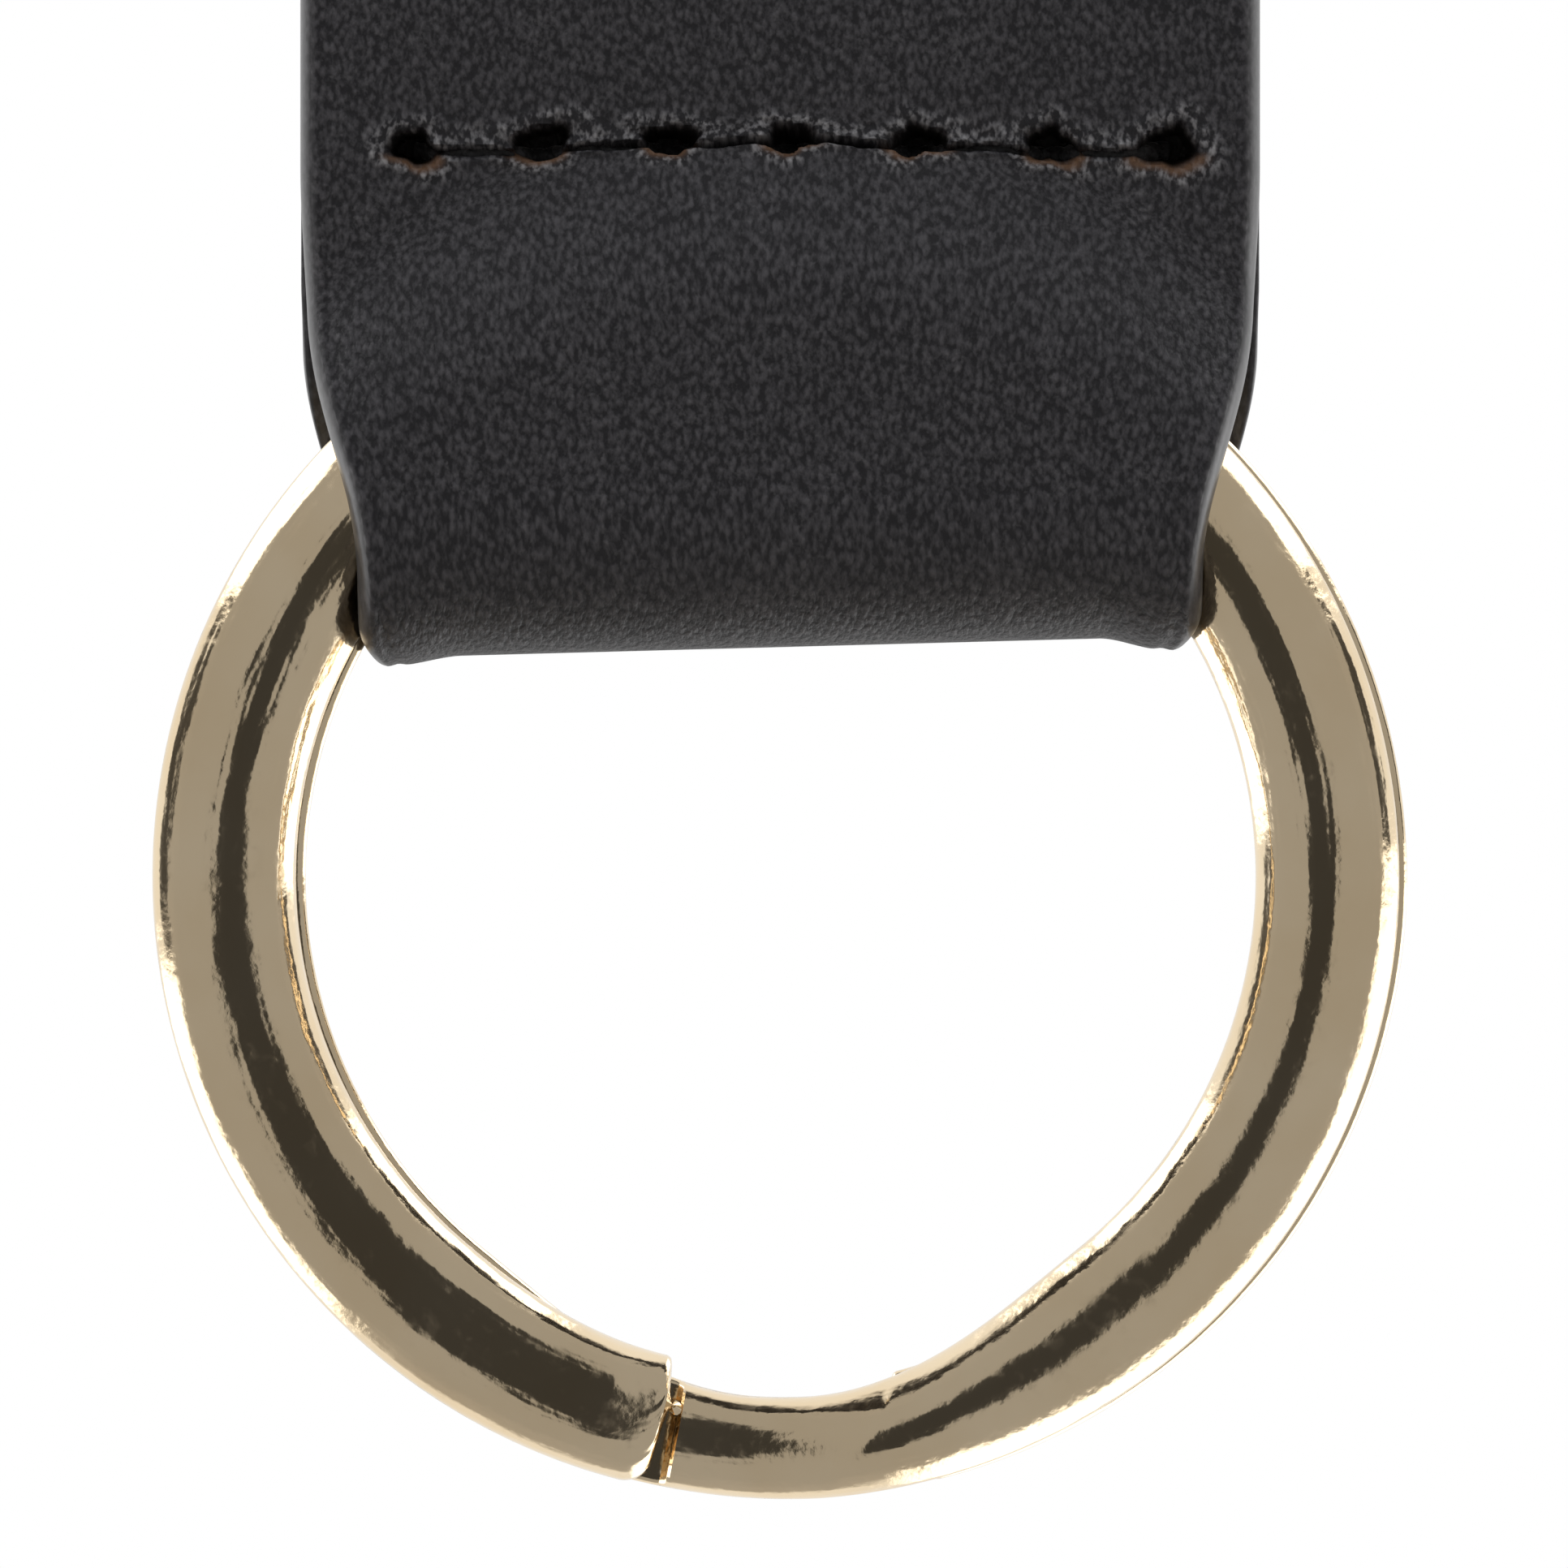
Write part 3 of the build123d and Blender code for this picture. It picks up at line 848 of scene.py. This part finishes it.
for end, seed, tilt, flare in (
    ("lower", 11, 0.027, (0.23, 0.36)),
    ("upper", 23, -0.012, (0.30, 0.28)),
):
    face_row = StitchRow(seed, STITCH_ABOVE_RING, FRONT_BITE, FRONT_CREASE)
    back_row = StitchRow(seed, STITCH_ABOVE_RING, BACK_BITE, BACK_CREASE)
    ring_rows[end] = face_row
    alongs = spread(
        (0, ring_row_at - ROW_REACH, 0.8),
        row_stretch(ring_row_at),
        (ring_row_at + ROW_REACH, STRAIGHT, POCKET_STEP),
        (STRAIGHT, STRAIGHT + FOLD_LENGTH, FOLD_STEP),
        (STRAIGHT + FOLD_LENGTH, back_row_at - ROW_REACH, POCKET_STEP),
        row_stretch(back_row_at),
        (back_row_at + ROW_REACH, END_STRIP, 0.8),
    )
    points, hide, masks = leather_rows(
        alongs,
        lambda x, along: end_middle(x, along, tilt, flare),
        end_half_width,
        [
            (face_row, lambda along: END_LENGTH - along),
            (back_row, lambda along: along - END_STRIP + END_LENGTH),
        ],
        squeeze=end_squeeze,
    )
    # a place on the flat hide runs on from piece to piece, and so does the grain
    if end == "lower":
        points[..., 2] -= SPACING
        hide[..., 1] = END_LENGTH - SPACING - hide[..., 1]
        ring_z, hinge_z = lower_ring_centre.z, flex_at["lower_loop_flex"]
    else:
        points[..., 2] *= -1
        hide[..., 1] -= END_LENGTH
        ring_z, hinge_z = upper_ring_centre.z, flex_at["upper_loop_flex"]
    piece = leather_piece(f"{end}_strap_end", points, hide, masks)
    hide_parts(f"{end}_loop")
    start_z = ring_z + (FLEX_START if end == "lower" else -FLEX_START) * MM
    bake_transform(piece)

# ------------------------------------------------------------------ middle of the strap
# The same strip between its two folded ends: one ply in front, and the strip's two cut ends behind,
# which meet edge to edge at mid-length. A row of stitches on each side of the joint holds them.
BUTT_GAP = 0.12  # between the strip's two ends, at mid-length on the back
STITCH_FROM_JOINT = 9.0
MIDDLE = -SPACING / 2
MIDDLE_LENGTH = SPACING - 2 * END_LENGTH
JOINT_SEEDS = {"upper": 37, "lower": 41}
joint_rows = {
    end: StitchRow(seed, STITCH_FROM_JOINT, FRONT_BITE, FRONT_CREASE) for end, seed in JOINT_SEEDS.items()
}
half_middle = MIDDLE_LENGTH / 2
upper_row_at = half_middle - STITCH_FROM_JOINT
lower_row_at = MIDDLE_LENGTH - upper_row_at


def full_width(along):
    """Half the strip's width where it is flat."""
    return HALF_WIDTH + 0 * along


def butt_end(along):
    """How far a cut end of the strip is rounded, at that distance from mid-length."""
    return rounding(along - BUTT_GAP / 2, 0.3)


face_alongs = spread(
    (0, upper_row_at - ROW_REACH, 1.0),
    row_stretch(upper_row_at),
    (upper_row_at + ROW_REACH, lower_row_at - ROW_REACH, 0.5),
    row_stretch(lower_row_at),
    (lower_row_at + ROW_REACH, MIDDLE_LENGTH, 1.0),
)
points, hide, masks = leather_rows(
    face_alongs,
    lambda x, along: np.stack([x, -PLY / 2 + 0 * x, -END_LENGTH - along], axis=-1),
    full_width,
    [
        (joint_rows["upper"], lambda along: half_middle - along),
        (joint_rows["lower"], lambda along: along - half_middle),
    ],
)
hide[..., 1] = -END_LENGTH - hide[..., 1]
middle_face = leather_piece("strap_middle_face", points, hide, masks)
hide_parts("upper_face_ply", "lower_face_ply")

tail_alongs = spread(
    (0, 0.3, 0.05),
    (0.3, STITCH_FROM_JOINT - ROW_REACH, 0.5),
    row_stretch(STITCH_FROM_JOINT),
    (STITCH_FROM_JOINT + ROW_REACH, half_middle - BUTT_GAP / 2, 1.0),
) + BUTT_GAP / 2
tails = {}
for end, up in (("upper", 1), ("lower", -1)):
    row = StitchRow(JOINT_SEEDS[end], STITCH_FROM_JOINT, BACK_BITE, BACK_CREASE)
    points, hide, masks = leather_rows(
        tail_alongs,
        lambda x, along: np.stack([x, PLY / 2 + 0 * x, MIDDLE + along], axis=-1),
        full_width,
        [(row, lambda along: along)],
        worn_end=butt_end,
    )
    if up < 0:
        points[..., 2] = 2 * MIDDLE - points[..., 2]
        hide[..., 1] = END_LENGTH - SPACING - END_STRIP - half_middle + hide[..., 1]
    else:
        hide[..., 1] = END_STRIP - END_LENGTH + half_middle - hide[..., 1]
    tails[end] = leather_piece(f"{end}_strap_tail", points, hide, masks)
    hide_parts(f"{end}_back_ply")
for piece in (middle_face, tails["upper"], tails["lower"]):
    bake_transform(piece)

# ------------------------------------------------------------------ stitching
# Waxed black thread of three twisted strands. In each hole the needle thread in front catches the
# bobbin thread behind. Both are pulled tight, so the stitches lie sunk in a crease of the leather.
THREAD = 0.52  # thickness
STRAND_TWIST = 1.5  # length of one full turn of the strands
THREAD_STEP = 0.07  # length between a thread's sections
LOCK = PLY - 0.30  # depth below either face at which the two threads catch each other


def stitch_path(row, sunk_to):
    """Points (x, height, depth) of one thread: along the crease, and down to the lock in each hole.

    They lie evenly on a smooth curve through its corners, and come with the length gone at each.
    """
    out_of_hole = [(0.35, LOCK - 0.1), (0.62, sunk_to + 0.45), (1.05, sunk_to + 0.04)]
    corners = [(row.x[0] + 0.05, LOCK)]
    for left, right in zip(row.x[:-1], row.x[1:]):
        if len(corners) > 1:
            corners.append((left, LOCK))
        corners += [(left + step, depth) for step, depth in out_of_hole]
        corners.append(((left + right) / 2, sunk_to - 0.04))
        corners += [(right - step, depth) for step, depth in reversed(out_of_hole)]
    corners.append((row.x[-1] - 0.05, LOCK))
    corners = np.array(corners)
    padded = np.concatenate([2 * corners[:1] - corners[1:2], corners, 2 * corners[-1:] - corners[-2:-1]])
    t = np.linspace(0, 1, 10, endpoint=False)[:, None]
    curve = []
    for a, b, c, d in zip(padded[:-3], padded[1:-2], padded[2:-1], padded[3:]):
        bend = 2 * a - 5 * b + 4 * c - d
        twist = 3 * b - a - 3 * c + d
        curve.append(0.5 * (2 * b + (c - a) * t + bend * t**2 + twist * t**3))
    curve = np.concatenate([*curve, corners[-1:]])
    gone = np.concatenate([[0], np.cumsum(np.linalg.norm(np.diff(curve, axis=0), axis=1))])
    even = np.linspace(0, gone[-1], int(gone[-1] / THREAD_STEP))
    x, depth = (np.interp(even, gone, column) for column in curve.T)
    return np.stack([x, row.crease(x), depth], axis=-1), even


def thread_rows(path, gone):
    """Sections of a twisted thread, in the same (x, height, depth) terms as its path."""
    ahead = np.gradient(path, axis=0)
    ahead /= np.linalg.norm(ahead, axis=1, keepdims=True)
    side = np.cross(ahead, [0, 1, 0])
    side /= np.linalg.norm(side, axis=1, keepdims=True)
    up = np.cross(side, ahead)
    around = np.linspace(0, 2 * pi, 18, endpoint=False)[None, :]
    lobes = np.abs(np.cos(1.5 * (around - 2 * pi * gone[:, None] / STRAND_TWIST)))
    radius = (THREAD / 2 * (0.80 + 0.20 * lobes))[..., None]
    ring = np.cos(around)[..., None] * side[:, None] + np.sin(around)[..., None] * up[:, None]
    return path[:, None] + radius * ring


def waxed_thread():
    """Black waxed thread: soft fibres under a film of wax."""
    material, tree, shader = new_material("stitch_thread")
    shader.inputs["Sheen Weight"].default_value = 0.25
    shader.inputs["Sheen Roughness"].default_value = 0.4
    place = tree.nodes.new("ShaderNodeTexCoord")
    fibres = noise_node(tree, (place, "Object"), 9000.0, detail=3.0)
    bump = bump_node(tree, (fibres, "Fac"), 0.5, 0.00004)
    fluff = speckle_node(tree, (place, "Object"), 4200.0, 0.45)
    shade = math_node(tree, "MULTIPLY_ADD", (fluff, "Mask"), 0.35, (fibres, "Fac"))
    colour = ramp_node(tree, (shade, 0), [(0.35, (0.006, 0.006, 0.007)), (1.0, (0.045, 0.045, 0.048))])
    roughness = tree.nodes.new("ShaderNodeMapRange")
    roughness.inputs["To Min"].default_value = 0.45
    roughness.inputs["To Max"].default_value = 0.75
    wire_up(
        tree,
        (colour, "Color", shader, "Base Color"),
        (fibres, "Fac", roughness, "Value"),
        (roughness, "Result", shader, "Roughness"),
        (bump, "Normal", shader, "Normal"),
    )
    return material


stitch_thread = waxed_thread()
for end, ring_z, up in (("lower", -SPACING, 1), ("upper", 0.0, -1)):
    for row_name, row, start_z, away, body in (
        ("ring_row", ring_rows[end], ring_z, up, f"{end}_loop"),
        ("joint_row", joint_rows[end], MIDDLE, -up, f"{end}_strap"),
    ):
        for thread_name, face_y, bite in (
            ("needle_thread", -1, FRONT_BITE),
            ("bobbin_thread", 1, BACK_BITE),
        ):
            sunk_to = 0.24 + 0.36 * bite
            path, gone = stitch_path(row, sunk_to)
            x, height, depth = np.moveaxis(thread_rows(path, gone), -1, 0)
            placed = np.stack([x, face_y * (PLY - depth), start_z + away * height], axis=-1)
            thread = skin(f"{end}_{row_name}_{thread_name}_twist", placed)
            thread.data.materials.append(stitch_thread)
            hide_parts(f"{end}_{row_name}_{thread_name}")
            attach(thread, body)
